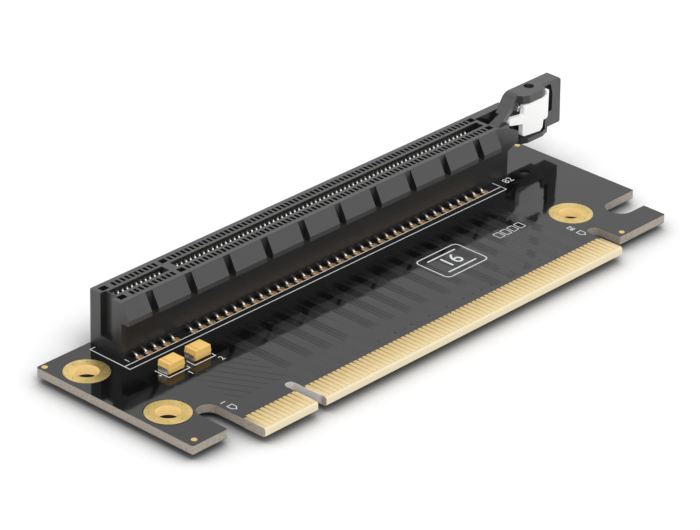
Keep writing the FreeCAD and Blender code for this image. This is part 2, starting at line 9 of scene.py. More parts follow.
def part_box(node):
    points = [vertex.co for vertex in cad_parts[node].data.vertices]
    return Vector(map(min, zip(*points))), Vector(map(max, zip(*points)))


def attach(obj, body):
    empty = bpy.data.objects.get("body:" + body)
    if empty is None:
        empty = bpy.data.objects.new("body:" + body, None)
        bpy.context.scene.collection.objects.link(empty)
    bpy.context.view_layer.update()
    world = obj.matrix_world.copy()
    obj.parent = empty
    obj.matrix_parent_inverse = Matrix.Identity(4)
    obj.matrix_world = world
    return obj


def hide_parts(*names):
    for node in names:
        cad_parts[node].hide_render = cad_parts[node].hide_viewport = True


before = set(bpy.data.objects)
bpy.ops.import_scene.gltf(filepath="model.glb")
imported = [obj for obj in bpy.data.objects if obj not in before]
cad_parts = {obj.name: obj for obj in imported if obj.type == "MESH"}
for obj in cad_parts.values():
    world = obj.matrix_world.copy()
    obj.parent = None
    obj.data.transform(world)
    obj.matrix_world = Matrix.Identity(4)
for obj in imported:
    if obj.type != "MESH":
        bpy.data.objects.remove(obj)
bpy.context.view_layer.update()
MM = 0.001
scene = bpy.context.scene
scene.view_settings.view_transform = "Standard"

# Places on the part in millimetres, in its own frame
BOARD_LOW = -1.57
TAB_LEFT = -12.7
TAB_RIGHT = 72.7
HOLES = ((-19.4, 14.0), (-19.4, 31.9), (76.0, 14.0))
SLOT_MIDDLE = 34.5
WALL_FRONT = 31.0
TAIL_COUNT = 41
TAIL_FIRST = -10.5
TAIL_PITCH = 2.0
TAILS_BEFORE_KEY = 5
TAIL_ROW = 29.55
TAIL_ROWS = 4
TAIL_ROW_STEP = 2.3
TAIL_ROW_SHIFT = 1.0
tail_number = np.arange(TAIL_COUNT)
tail_x = TAIL_FIRST + TAIL_PITCH * (tail_number + (tail_number >= TAILS_BEFORE_KEY))


# Shader maths
class Wire:
    """One output of a material's nodes. Arithmetic on it adds the Math nodes."""

    def __init__(self, finish, socket):
        self.finish = finish
        self.socket = socket

    def sum_of(self, operation, first, second=0.0, clamp=False):
        """One Math node on two numbers or wires."""
        settings = {"operation": operation, "use_clamp": clamp}
        return self.finish.add("Math", settings, {0: first, 1: second})

    def __add__(self, other):
        return self.sum_of("ADD", self, other)

    def __radd__(self, other):
        return self.sum_of("ADD", other, self)

    def __sub__(self, other):
        return self.sum_of("SUBTRACT", self, other)

    def __rsub__(self, other):
        return self.sum_of("SUBTRACT", other, self)

    def __mul__(self, other):
        return self.sum_of("MULTIPLY", self, other)

    def __rmul__(self, other):
        return self.sum_of("MULTIPLY", other, self)

    def __truediv__(self, other):
        return self.sum_of("DIVIDE", self, other)

    def __abs__(self):
        return self.sum_of("ABSOLUTE", self)

    def __mod__(self, step):
        return self.sum_of("FLOORED_MODULO", self, step)

    def __pow__(self, other):
        return self.sum_of("POWER", self, other)

    def most(self, other):
        return self.sum_of("MAXIMUM", self, other)

    def above(self, edge, soft):
        """0 below the edge and 1 above it, over a ramp of twice the soft width."""
        return self.sum_of("DIVIDE", self - (edge - soft), 2 * soft, clamp=True)

    def below(self, edge, soft):
        return 1 - self.above(edge, soft)

    def within(self, low, high, soft):
        return self.above(low, soft) * self.below(high, soft)

    def peak(self, middle, half):
        """1 at the middle, 0 at half a width to each side of it and less than 0 past that."""
        return 1.0 - abs(self - middle) / half


class Finish:
    """A material for one kind of surface, read in millimetres of the part."""

    def __init__(self, name):
        self.material = bpy.data.materials.new(name)
        self.material.use_nodes = True
        self.tree = self.material.node_tree
        self.tree.nodes.clear()
        place = self.add("TexCoord", {}, {}, "Object")
        self.spot = self.add("VectorMath", {"operation": "SCALE"}, {0: place, "Scale": 1 / MM})
        self.x, self.y, self.z = self.split(self.spot)
        facing = self.add("TexCoord", {}, {}, "Normal")
        self.nz = self.split(facing)[2]

    def add(self, kind, settings, sockets, out=0):
        """A node of one kind: its settings first, then the value or the link of each socket."""
        node = self.tree.nodes.new("ShaderNode" + kind)
        for word, value in settings.items():
            setattr(node, word, value)
        for word, value in sockets.items():
            if isinstance(value, Wire):
                self.tree.links.new(value.socket, node.inputs[word])
            else:
                node.inputs[word].default_value = value
        return Wire(self, node.outputs[out])

    def split(self, vector):
        """The three parts of a vector."""
        node = self.add("SeparateXYZ", {}, {0: vector}).socket.node
        return [Wire(self, node.outputs[k]) for k in range(3)]

    def mix(self, first, second, amount):
        """The first colour where the amount is 0, the second where it is 1."""
        first = first if isinstance(first, Wire) else (*first, 1.0)
        second = second if isinstance(second, Wire) else (*second, 1.0)
        return self.add("Mix", {"data_type": "RGBA"}, {0: amount, 6: first, 7: second}, 2)

    def noise(self, scale, detail=2.0, stretch=(1.0, 1.0, 1.0), rough=0.5):
        """Noise whose grains are about one over the scale, in millimetres."""
        spot = self.add("VectorMath", {"operation": "MULTIPLY"}, {0: self.spot, 1: stretch})
        sockets = {"Vector": spot, "Scale": scale, "Detail": detail, "Roughness": rough}
        return self.add("TexNoise", {"noise_dimensions": "3D"}, sockets)

    def away(self, x, y):
        """Distance in the plane of the board from one place."""
        across = self.x - x
        along = self.y - y
        return (across * across + along * along) ** 0.5

    def bump(self, height, depth, below=None):
        """A bump whose full height is the depth in millimetres."""
        sockets = {"Height": height, "Distance": depth * MM, "Strength": 1.0}
        if below is not None:
            sockets["Normal"] = below
        return self.add("Bump", {}, sockets)

    def shade(self, colour, rough, metal=0.0, normal=None, **fixed):
        """Closes the material with one Principled shader."""
        sockets = {"Base Color": colour, "Roughness": rough, "Metallic": metal}
        if normal is not None:
            sockets["Normal"] = normal
        sockets.update(fixed)
        self.add_output(self.add("BsdfPrincipled", {}, sockets))
        return self.material

    def add_output(self, surface):
        end = self.tree.nodes.new("ShaderNodeOutputMaterial")
        self.tree.links.new(surface.socket, end.inputs["Surface"])


# Finishes
def board_finish():
    """Gloss black lacquer over copper, bare glass fibre on every edge and between the fingers."""
    f = Finish("board_black_lacquer")
    lacquer = f.noise(0.25)
    # Signal pairs run along Y in groups, each trace with a thin gap on both sides. The groups
    # shift sideways at three places along the board.
    group = 4.0
    start = f.x.above(6.5, 0.01) + 2.0 * f.x.above(20.0, 0.01) - 3.0 * f.x.above(37.5, 0.01)
    reach = abs((f.x - start + group / 2) % group - group / 2)
    pairs = f.x.within(2.6, 70.2, 0.05)
    gap_half = 0.10
    lines = reach.peak(0.22, gap_half).most(reach.peak(0.78, gap_half)).most(0.0)
    lines = lines * pairs * f.y.within(5.6, 28.0, 0.2)
    # Painted highlight: a pale glint line along the middle of each trace and just outside each group, also
    # rougher
    glint_half = 0.06
    glint = reach.peak(0.50, glint_half).most(reach.peak(1.05, glint_half)).most(0.0)
    glint = glint * pairs * f.y.within(5.6, 25.5, 0.5)
    # A few thin slanting lines from the power pins at the left end
    power_step = 1.9
    slant = (f.x + f.y * 0.55) % power_step
    power = slant.peak(power_step / 2, 0.07).most(0.0)
    power = power * f.x.within(-9.5, 1.8, 0.1) * f.y.within(9.0, 19.5, 0.3)
    gaps = lines.most(power * 0.7)
    # The lacquer stands back from each ring
    lacquer_hole = 3.93
    edge = None
    for place in HOLES:
        ring = f.away(*place).peak(lacquer_hole, 0.09).most(0.0)
        edge = ring if edge is None else edge.most(ring)
    height = 1.0 - gaps.most(edge)
    flat = abs(f.nz).above(0.94, 0.02)
    in_tab = f.x.within(TAB_LEFT, TAB_RIGHT, 0.02)
    bare_end = 4.6
    bare = f.y.below(bare_end, 0.03) * in_tab
    mask = flat * (1.0 - bare)
    deep_black = (0.0038, 0.0039, 0.0042)
    soft_black = (0.0060, 0.0061, 0.0065)
    gap_black = (0.001, 0.001, 0.0011)
    painted_glint_grey = (0.022, 0.022, 0.023)
    black = f.mix(deep_black, soft_black, lacquer)
    black = f.mix(black, gap_black, height.below(0.5, 0.5) * 0.8)
    # Painted highlight along the traces
    black = f.mix(black, painted_glint_grey, glint * 0.7)
    # Glass fibre: layers of weave, seen as streaks along the edge, under a rim of lacquer
    streak = f.noise(2.6, detail=4.0, stretch=(0.8, 0.8, 3.2), rough=0.7)
    grain = f.noise(14.0, detail=3.0, rough=0.6)
    layers = abs((f.z * 5.2 + grain * 0.4) % 1.0 - 0.5) * 2.0
    glass_dark = (0.22, 0.185, 0.15)
    glass_pale = (0.45, 0.40, 0.34)
    layer_brown = (0.13, 0.10, 0.075)
    speck_pale = (0.60, 0.55, 0.48)
    rim_black = (0.03, 0.03, 0.032)
    fibre = f.mix(glass_dark, glass_pale, streak.within(0.43, 0.9, 0.07))
    fibre = f.mix(fibre, layer_brown, layers.above(0.80, 0.14) * 0.6)
    fibre = f.mix(fibre, speck_pale, grain.above(0.62, 0.06) * 0.5)
    rim = f.z.above(-0.07, 0.02).most((f.z * -1.0).above(1.50, 0.02))
    fibre = f.mix(fibre, rim_black, rim * (1.0 - bare))
    # Painted light: the cut and sloped faces of the insertion edge are painted pale
    slope = abs(f.nz).within(0.25, 0.93, 0.02) * f.y.below(0.6, 0.02)
    front = f.y.below(0.02, 0.01) * in_tab
    pale = f.mix((0.90, 0.80, 0.56), (0.80, 0.69, 0.46), streak)
    fibre = f.mix(fibre, pale, slope.most(front))
    # Resin between the fingers, with painted shade that makes it darker towards the board
    resin = f.mix((0.80, 0.66, 0.40), (0.72, 0.56, 0.31), grain)
    resin = f.mix(resin, (0.26, 0.17, 0.075), f.y.above(2.6, 1.7) * 0.72)
    fibre = f.mix(fibre, resin, bare * flat)
    # Painted light: the wall of the key notch is painted nearly white
    notch_half = 1.2
    notch = f.x.within(-notch_half, notch_half, 0.05) * f.y.within(1.2, 12.0, 0.3)
    fibre = f.mix(fibre, (0.86, 0.83, 0.78), notch * 0.85)
    colour = f.mix(fibre, black, mask)
    rough = 0.045 + 0.04 * lacquer + glint * 0.3 + (1.0 - mask) * 0.5
    wave = f.bump(lacquer * mask, 0.02)
    normal = f.bump(height.most(1.0 - mask) + grain * (1.0 - mask) * 0.5, 0.014, wave)
    return f.shade(colour, rough, normal=normal)


def finger_finish():
    """Gold plate brushed along Y: deeper in patches, with painted shade deeper towards the board and painted
    light paler at the front edge.
    """
    f = Finish("finger_gold")
    brushed = f.noise(3.0, detail=3.0, stretch=(9.0, 0.8, 2.0), rough=0.6)
    cloud = f.noise(0.7)
    gold = (0.82, 0.62, 0.29)
    bright_gold = (0.90, 0.72, 0.39)
    worn_gold = (0.74, 0.58, 0.24)
    shaded_gold = (0.66, 0.47, 0.18)
    lit_gold = (0.97, 0.84, 0.56)
    colour = f.mix(gold, bright_gold, brushed)
    colour = f.mix(colour, worn_gold, cloud.above(0.56, 0.12) * 0.5)
    # Painted shade towards the board, painted light at the front edge
    colour = f.mix(colour, shaded_gold, f.y.above(3.6, 1.1) * 0.55)
    colour = f.mix(colour, lit_gold, f.y.below(1.5, 1.0) * 0.5)
    rough = 0.26 + 0.2 * brushed
    return f.shade(colour, rough, metal=1.0, normal=f.bump(brushed, 0.008))


def ring_finish():
    """Gold of a mounting ring, greener in patches and a little stained. Its wall has painted light: brighter
    gold and a faint warm glow.
    """
    f = Finish("ring_gold")
    cloud = f.noise(0.45, detail=3.0)
    scratch = f.noise(6.0, detail=4.0, rough=0.7)
    wall = abs(f.nz).below(0.5, 0.1)
    gold = (0.86, 0.62, 0.25)
    green_gold = (0.66, 0.52, 0.17)
    lit_wall_gold = (1.0, 0.80, 0.40)
    stain = (0.55, 0.40, 0.16)
    colour = f.mix(gold, green_gold, cloud.above(0.5, 0.14))
    # Painted light: the wall of the hole is painted brighter gold
    colour = f.mix(colour, lit_wall_gold, wall)
    colour = f.mix(colour, stain, scratch.above(0.70, 0.05) * 0.4)
    rough = 0.30 + 0.22 * scratch
    metal = 1.0 - wall * 0.55
    # Painted light: a faint warm glow on the wall of the hole
    no_glow = (0.0, 0.0, 0.0)
    warm_glow = (1.0, 0.66, 0.27)
    glow = {"Emission Color": f.mix(no_glow, warm_glow, wall), "Emission Strength": 0.28}
    return f.shade(colour, rough, metal, f.bump(scratch, 0.012), **glow)


def plastic_finish():
    """Black glass filled nylon with fine grain and pale flecks of fibre. It has painted shade on the front
    wall below the ribs and on the left end face, and painted light along the foot of the ribs."""
    f = Finish("slot_black_nylon")
    grain = f.noise(11.0, detail=4.0, rough=0.65)
    flow = f.noise(0.22, detail=3.0, stretch=(0.5, 1.0, 2.0))
    fleck = f.noise(5.0, stretch=(0.5, 1.0, 1.0))
    deep_black = (0.010, 0.0101, 0.0106)
    soft_black = (0.018, 0.0181, 0.0188)
    flow_black = (0.014, 0.014, 0.0147)
    fleck_grey = (0.085, 0.085, 0.086)
    shadow = (0.0012, 0.0012, 0.0013)
    foot_light_grey = (0.042, 0.042, 0.043)
    colour = f.mix(deep_black, soft_black, grain)
    colour = f.mix(colour, flow_black, flow)
    colour = f.mix(colour, fleck_grey, fleck.above(0.74, 0.02) * 0.5)
    # Painted shade on the front wall below the ribs, weaker towards the bottom
    shade_under_ribs = f.y.within(30.6, 31.3, 0.05) * f.z.below(6.18, 0.03) * f.x.within(-11.9, 84.0, 0.1)
    shade_fading_down = f.z.below(2.0, 4.0) * 0.6
    colour = f.mix(colour, shadow, shade_under_ribs * (1.0 - shade_fading_down))
    # Painted shade on the left end face
    end_face_shade = f.x.below(-12.68, 0.04) * f.z.below(9.6, 0.1)
    colour = f.mix(colour, shadow, end_face_shade)
    # Painted light along the foot of the ribs
    rib_foot_light = f.y.below(29.6, 0.05) * f.z.within(6.05, 6.96, 0.04) * f.x.below(78.0, 0.1)
    colour = f.mix(colour, foot_light_grey, rib_foot_light)
    rough = 0.27 + 0.12 * flow + 0.08 * grain
    return f.shade(colour, rough, normal=f.bump(grain, 0.014), IOR=1.8)


def tin_finish(name, warm):
    """Bright plated metal with soft patches and fine drawing marks, and painted shade where it goes under the
    wall.
    """
    f = Finish(name)
    patch = f.noise(2.2, detail=3.0)
    drawn = f.noise(20.0, stretch=(1.0, 1.0, 0.15), rough=0.6)
    bright = (0.80 + warm, 0.77, 0.72 - warm)
    dull = (0.66 + warm, 0.62, 0.56 - warm)
    shadow = (0.035, 0.030, 0.025)
    colour = f.mix(bright, dull, patch)
    # Painted shade: dark and less metallic where the tails run in under the wall
    shade_under_wall = f.y.within(30.22, 31.9, 0.12) * f.z.within(-0.3, 1.0, 0.1)
    colour = f.mix(colour, shadow, shade_under_wall * 0.94)
    rough = 0.20 + 0.18 * drawn
    metal = 1.0 - shade_under_wall * 0.7
    return f.shade(colour, rough, metal, f.bump(drawn, 0.006))


def tip_finish():
    """Polished tips of the slot contacts, with a faint glow for the light they catch from above."""
    f = Finish("contact_tip")
    patch = f.noise(3.0)
    colour = f.mix((0.97, 0.96, 0.94), (0.92, 0.90, 0.86), patch)
    rough = 0.34 + 0.1 * patch
    glow = {"Emission Color": (1.0, 1.0, 0.98, 1.0), "Emission Strength": 0.35}
    return f.shade(colour, rough, metal=0.3, **glow)


def capacitor_finish(name, left):
    """Warm yellow epoxy with an orange band near the left end."""
    f = Finish(name)
    speck = f.noise(9.0, detail=4.0, rough=0.7)
    cloud = f.noise(0.8)
    band_start = left + 0.55
    band_end = left + 0.92
    colour = f.mix((0.94, 0.59, 0.16), (0.97, 0.66, 0.20), cloud)
    colour = f.mix(colour, (0.84, 0.52, 0.14), speck.above(0.66, 0.05) * 0.35)
    ragged = f.x + 0.05 * speck
    band = ragged.within(band_start, band_end, 0.03) * f.nz.above(0.8, 0.05)
    colour = f.mix(colour, (0.78, 0.36, 0.12), band * 0.62)
    rough = 0.42 + 0.16 * speck
    return f.shade(colour, rough, normal=f.bump(speck, 0.012))


def latch_finish():
    """Natural white nylon with a faint mould texture, duller in soft patches, and a faint glow of painted
    light.
    """
    f = Finish("latch_white_nylon")
    cloud = f.noise(0.5)
    grain = f.noise(10.0, detail=3.0)
    colour = f.mix((0.95, 0.95, 0.945), (0.92, 0.92, 0.91), cloud)
    colour = f.mix(colour, (0.965, 0.965, 0.96), grain.above(0.6, 0.1) * 0.4)
    rough = 0.36 + 0.12 * grain
    # Painted light: a faint glow that makes the nylon whiter
    glow = {"Emission Color": (1.0, 1.0, 1.0, 1.0), "Emission Strength": 0.14}
    return f.shade(colour, rough, normal=f.bump(grain, 0.01), **glow)


def steel_finish():
    """Drawn steel of the pin and the spring."""
    f = Finish("spring_steel")
    drawn = f.noise(12.0, detail=3.0, stretch=(1.0, 1.0, 0.3))
    colour = f.mix((0.62, 0.62, 0.63), (0.50, 0.50, 0.52), drawn)
    rough = 0.22 + 0.16 * drawn
    return f.shade(colour, rough, metal=1.0, normal=f.bump(drawn, 0.005))


def ink_finish():
    """White legend ink, a little thin in places."""
    f = Finish("legend_ink")
    thin = f.noise(5.0, detail=3.0, rough=0.6)
    colour = f.mix((0.86, 0.87, 0.88), (0.62, 0.63, 0.65), thin.above(0.56, 0.10))
    rough = 0.5 + 0.1 * thin
    return f.shade(colour, rough, normal=f.bump(thin, 0.005))


def solder_finish():
    """Bright solder with a soft ripple."""
    f = Finish("solder_bright")
    ripple = f.noise(4.0, detail=3.0)
    colour = f.mix((0.76, 0.75, 0.73), (0.60, 0.59, 0.57), ripple)
    rough = 0.18 + 0.2 * ripple
    return f.shade(colour, rough, metal=1.0, normal=f.bump(ripple, 0.02))


def pad_finish():
    """Gold pads painted brown, as painted shade from the housing above them."""
    f = Finish("pad_gold")
    cloud = f.noise(1.6, detail=3.0)
    colour = f.mix((0.86, 0.52, 0.20), (0.70, 0.38, 0.12), cloud)
    rough = 0.30 + 0.2 * cloud
    return f.shade(colour, rough, metal=0.7, normal=f.bump(cloud, 0.01))


def hollow_finish():
    """Painted shade: an almost black disc in place of the shaded hole of a small plated via."""
    f = Finish("via_hollow")
    speck = f.noise(8.0)
    colour = f.mix((0.02, 0.016, 0.010), (0.06, 0.045, 0.02), speck)
    rough = 0.6 + 0.2 * speck
    return f.shade(colour, rough)


board_black = board_finish()
finger_gold = finger_finish()
ring_gold = ring_finish()
slot_black = plastic_finish()
tin = tin_finish("tail_tin", 0.02)
contact_metal = tin_finish("contact_plate", 0.06)
contact_tip = tip_finish()
latch_white = latch_finish()
steel = steel_finish()
ink = ink_finish()
solder = solder_finish()
pad_gold = pad_finish()
hollow = hollow_finish()

NODE_FINISH = {
    "pcb_board": board_black,
    "edge_fingers_top": finger_gold,
    "edge_fingers_bottom": finger_gold,
    "mounting_ring_front_left": ring_gold,
    "mounting_ring_back_left": ring_gold,
    "mounting_ring_right": ring_gold,
    "alignment_spots": ring_gold,
    "slot_housing": slot_black,
    "contact_row_front": contact_metal,
    "contact_row_back": contact_metal,
    "solder_tails_row_1": tin,
    "solder_tails_row_2": tin,
    "solder_tails_row_3": tin,
    "solder_tails_row_4": tin,
    "capacitor_a_body": slot_black,
    "capacitor_b_body": slot_black,
    "capacitor_a_terminals": tin,
    "capacitor_b_terminals": tin,
    "latch": latch_white,
    "latch_pin": steel,
    "latch_spring": steel,
}
for node, finish in NODE_FINISH.items():
    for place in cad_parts[node].material_slots:
        place.material = finish


# Pieces
def add_piece(name, mesh, finish, body):
    """One object at the origin with this mesh and finish, which rides on a body."""
    mesh.name = name
    mesh.materials.clear()
    mesh.materials.append(finish)
    thing = bpy.data.objects.new(name, mesh)
    scene.collection.objects.link(thing)
    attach(thing, body)
    return thing


def keep(name, points, faces, finish, slot, smooth=False):
    """Puts points in millimetres and their faces into one piece of the card."""
    mesh = bpy.data.meshes.new(name)
    mesh.from_pydata((np.asarray(points) * MM).tolist(), [], faces)
    mesh.polygons.foreach_set("use_smooth", np.full(len(mesh.polygons), smooth))
    mesh.update()
    return add_piece(name, mesh, finish, "card")


def rounded_copy(node, name, width, finish, body):
    """A copy of a CAD node, merged where its points meet and its faces are flat, with rounded edges."""
    same_point = 2e-6
    same_plane = 0.02
    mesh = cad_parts[node].data.copy()
    work = bmesh.new()
    work.from_mesh(mesh)
    bmesh.ops.remove_doubles(work, verts=work.verts, dist=same_point)
    bmesh.ops.dissolve_limit(work, angle_limit=same_plane, verts=work.verts, edges=work.edges)
    work.to_mesh(mesh)
    work.free()
    thing = add_piece(name, mesh, finish, body)
    edge = thing.modifiers.new("edge", "BEVEL")
    edge.width = width * MM
    edge.segments = 2
    edge.limit_method = "ANGLE"
    edge.angle_limit = math.radians(35)
    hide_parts(node)
    return thing


# Shapes as arrays
def skin(rows, sides, closed=False):
    """Four-sided faces over rows of points that close round each row. Unless the last row joins the
    first, each open end gets a cap."""
    last = rows if closed else rows - 1
    low = (np.arange(last) * sides)[:, None]
    high = (((np.arange(last) + 1) % rows) * sides)[:, None]
    here = np.arange(sides)[None, :]
    there = (here + 1) % sides
    quads = np.stack([low + here, low + there, high + there, high + here], axis=-1)
    faces = quads.reshape(-1, 4).tolist()
    if not closed:
        faces.append(list(range(sides))[::-1])
        faces.append(list(range((rows - 1) * sides, rows * sides)))
    return faces


def lathe(profile, sides, closed=False):
    """A profile of radius and height turned about Z: x = r cos a, y = r sin a, z = h."""
    profile = np.array(profile, float)
    angle = 2 * np.pi * np.arange(sides) / sides
    radius = profile[:, :1]
    height = profile[:, 1:]
    points = np.stack([radius * np.cos(angle), radius * np.sin(angle), height + 0 * angle], axis=-1)
    return points.reshape(-1, 3), skin(len(profile), sides, closed)


def gather(shapes):
    """Several shapes as one: their points in turn, and their faces with the numbers moved on."""
    points = []
    faces = []
    count = 0
    for some, more in shapes:
        points.append(some)
        faces.extend([[corner + count for corner in face] for face in more])
        count += len(some)
    return np.concatenate(points), faces


def repeat(points, faces, places):
    """The same shape at every place: point plus place."""
    return gather([(points + place, faces) for place in np.asarray(places, float)])


def ribbon(path, width, low, high, closed=False):
    """A strip of rectangular section along a flat path: each side stands half a width off the path."""
    path = np.array(path, float)
    after = np.roll(path, -1, axis=0) - path
    before = path - np.roll(path, 1, axis=0)
    if not closed:
        after[-1] = before[-1]
        before[0] = after[0]
    after /= np.linalg.norm(after, axis=1, keepdims=True)
    before /= np.linalg.norm(before, axis=1, keepdims=True)
    along = after + before
    along /= np.linalg.norm(along, axis=1, keepdims=True)
    side = np.stack([-along[:, 1], along[:, 0]], axis=1)
    turn = np.clip((along * after).sum(axis=1, keepdims=True), 0.5, 1.0)
    off = side * width / 2 / turn
    left = path + off
    right = path - off
    rows = np.stack([
        np.column_stack([left, np.full(len(path), high)]),
        np.column_stack([left, np.full(len(path), low)]),
        np.column_stack([right, np.full(len(path), low)]),
        np.column_stack([right, np.full(len(path), high)]),
    ], axis=1)
    return rows.reshape(-1, 3), skin(len(path), 4, closed)


def rounded_loop(half_x, half_y, radius, steps):
    """A rectangle with round corners: four arcs joined by straight sides."""
    angle = np.linspace(0, np.pi / 2, steps)
    corners = []
    for quarter, (sx, sy) in enumerate(((1, 1), (-1, 1), (-1, -1), (1, -1))):
        turn = angle + quarter * np.pi / 2
        middle = np.array([sx * (half_x - radius), sy * (half_y - radius)])
        corners.append(middle + radius * np.column_stack([np.cos(turn), np.sin(turn)]))
    return np.concatenate(corners)


def bent_wire(path, half_x, half_thick, bevel):
    """A flat wire with rounded corners swept along a path in Y and Z, so its width lies along X."""
    path = np.array(path, float)
    along = np.gradient(path, axis=0)
    along /= np.linalg.norm(along, axis=1, keepdims=True)
    section = np.array([
        (half_x - bevel, half_thick), (half_x, half_thick - bevel), (half_x, bevel - half_thick),
        (half_x - bevel, -half_thick), (bevel - half_x, -half_thick), (-half_x, bevel - half_thick),
        (-half_x, half_thick - bevel), (bevel - half_x, half_thick),
    ])
    y = path[:, None, 0] - along[:, None, 1] * section[None, :, 1]
    z = path[:, None, 1] + along[:, None, 0] * section[None, :, 1]
    x = np.broadcast_to(section[None, :, 0], y.shape)
    return np.stack([x, y, z], axis=-1).reshape(-1, 3), skin(len(path), len(section))


def moulded_block(low, high, draft, radius, steps):
    """Rows of rounded rectangles up the height, each drawn in by the draft from the parting line."""
    middle = (low + high) / 2
    half = (high - low) / 2
    parting = low[2] + 0.45 * (high[2] - low[2])
    rows = [
        (low[2], draft + 0.12), (low[2] + 0.1, draft),
        (parting - 0.02, 0.03), (parting, 0.0), (parting + 0.02, 0.03),
        (high[2] - 0.14, draft), (high[2] - 0.04, draft + 0.05), (high[2], draft + 0.14),
    ]
    points = []
    for height, inset in rows:
        loop = rounded_loop(half[0] - inset, half[1] - inset, radius, steps)
        points.append(np.column_stack([loop + middle[:2], np.full(len(loop), height)]))
    return np.concatenate(points), skin(len(rows), len(points[0]))


def coil(middle, radius, wire, length, turns, sides):
    """A helix about Y: x = R cos a, z = R sin a, y = pitch a, with a round wire swept along it."""
    start = 0.4
    steps_per_turn = 20
    count = int(turns * steps_per_turn) + 1
    a = np.linspace(start, start + 2 * np.pi * turns, count)
    rise = length / (a[-1] - a[0])
    centre = np.column_stack([radius * np.cos(a), (a - a[0]) * rise - length / 2, radius * np.sin(a)])
    along = np.column_stack([-radius * np.sin(a), np.full(count, rise), radius * np.cos(a)])
    along /= np.linalg.norm(along, axis=1, keepdims=True)
    outward = np.column_stack([np.cos(a), np.zeros(count), np.sin(a)])
    across = np.cross(along, outward)
    b = 2 * np.pi * np.arange(sides) / sides
    ring = outward[:, None, :] * np.cos(b)[None, :, None] + across[:, None, :] * np.sin(b)[None, :, None]
    points = centre[:, None, :] + wire * ring + np.asarray(middle)
    return points.reshape(-1, 3), skin(count, sides)


# Legend printed on the board
INK_LOW = 0.0
INK_HIGH = 0.02
LINE = 0.16
BADGE = (48.8, 16.7)
BADGE_BAR_HALF = 3.4
BADGE_BAR_OFFSET = 2.35
BOX_FIRST = (61.2, 17.2)
BOX_STEP = 1.75
BOX_COUNT = 4


def inked(path, width=LINE, closed=False):
    """A line of ink along a path on the board."""
    return ribbon(path, width, INK_LOW, INK_HIGH, closed)


slot_frame = [(-13.1, 36.6), (-14.2, 36.6), (-14.25, 27.6), (75.15, 27.6), (75.15, 30.8)]
slot_line = [(-14.2, 28.83), (75.2, 28.83)]
capacitor_a_frame = [(-11.8, 24.6), (-11.75, 21.5), (-7.2, 21.5), (-7.2, 22.2)]
capacitor_b_frame = [(-6.1, 23.35), (-6.15, 21.45), (-1.6, 21.45), (-1.6, 22.3)]
capacitor_b_side = [(-5.9, 25.0), (-6.1, 24.6), (-6.1, 23.9)]
frames = (slot_frame, slot_line, capacitor_a_frame, capacitor_b_frame, capacitor_b_side)
strokes = [inked(path) for path in frames]
strokes.append(inked(rounded_loop(5.0, 3.7, 0.9, 7) + BADGE, 0.2, closed=True))
for offset in (BADGE_BAR_OFFSET, -BADGE_BAR_OFFSET):
    bar_y = BADGE[1] + offset
    bar = [(BADGE[0] - BADGE_BAR_HALF, bar_y), (BADGE[0] + BADGE_BAR_HALF, bar_y)]
    strokes.append(inked(bar, 0.3))
arrow = np.array([(-0.55, 0.75), (-0.55, -0.2), (0.0, -0.8), (0.55, -0.2), (0.55, 0.75)])
for arrow_place in ((-11.3, 8.15), (71.7, 8.0)):
    strokes.append(inked(arrow + arrow_place, 0.14, closed=True))
for number in range(BOX_COUNT):
    box_place = (BOX_FIRST[0] + BOX_STEP * number, BOX_FIRST[1])
    strokes.append(inked(rounded_loop(0.62, 0.85, 0.12, 3) + box_place, 0.13, closed=True))
dot = lathe([(0.2, INK_LOW), (0.2, INK_HIGH)], 10)
strokes.append(repeat(*dot, [(-12.25, 22.9, 0.0)]))
keep("board_legend", *gather(strokes), ink, slot="board_black")


def printed(words, size, x, y, turn, name):
    """A plain number in ink: the outline of the figures raised by the height of the ink."""
    curve = bpy.data.curves.new(name, "FONT")
    curve.body = words
    curve.size = size * MM
    curve.extrude = INK_HIGH / 2 * MM
    curve.align_x = "CENTER"
    curve.align_y = "CENTER"
    holder = bpy.data.objects.new(name + "_letters", curve)
    scene.collection.objects.link(holder)
    bpy.context.view_layer.update()
    solid = holder.evaluated_get(bpy.context.evaluated_depsgraph_get())
    mesh = bpy.data.meshes.new_from_object(solid)
    bpy.data.objects.remove(holder)
    place = Matrix.Translation((x * MM, y * MM, INK_HIGH / 2 * MM))
    mesh.transform(place @ Matrix.Rotation(math.radians(turn), 4, "Z"))
    add_piece(name, mesh, ink, "card")


printed("16", 4.2, BADGE[0], BADGE[1], 0, "number_lanes")
printed("82", 2.1, 77.9, 29.6, 0, "number_slot_right")
printed("1", 1.5, -12.6, 29.9, 0, "number_slot_left")
printed("1", 1.6, -8.2, 20.25, 0, "number_capacitor_a")
printed("2", 1.6, -1.5, 20.15, 0, "number_capacitor_b")
printed("1", 1.5, -11.35, 10.2, 90, "number_finger_left")
printed("82", 1.5, 71.7, 10.4, 90, "number_finger_right")

# Pads, bent tails and solder
PAD_SHIFT = 0.12
CONE_SHIFT = 0.2
pad_profile = [(0.66, 0.0), (0.66, 0.035), (0.61, 0.052), (0.45, 0.045), (0.3, 0.04)]
pad_places = [(x + PAD_SHIFT, TAIL_ROW - PAD_SHIFT, 0.0) for x in tail_x]
pads = repeat(*lathe(pad_profile, 16), pad_places)
keep("tail_pads_top", *pads, pad_gold, slot="gold_plate", smooth=True)

tail_path = [
    (31.6, 0.42), (30.9, 0.42), (30.55, 0.40), (30.28, 0.34), (30.02, 0.20), (29.80, 0.0), (29.66, -0.25),
    (TAIL_ROW + 0.01, -0.6), (TAIL_ROW, -1.5), (TAIL_ROW, -2.3), (TAIL_ROW, -2.52),
]
tail_places = [(x, 0.0, 0.0) for x in tail_x]
tail_wires = repeat(*bent_wire(tail_path, half_x=0.19, half_thick=0.14, bevel=0.05), tail_places)
tails = keep("tail_wires_front", *tail_wires, tin, slot="tin_plate", smooth=True)
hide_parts("solder_tails_row_1")

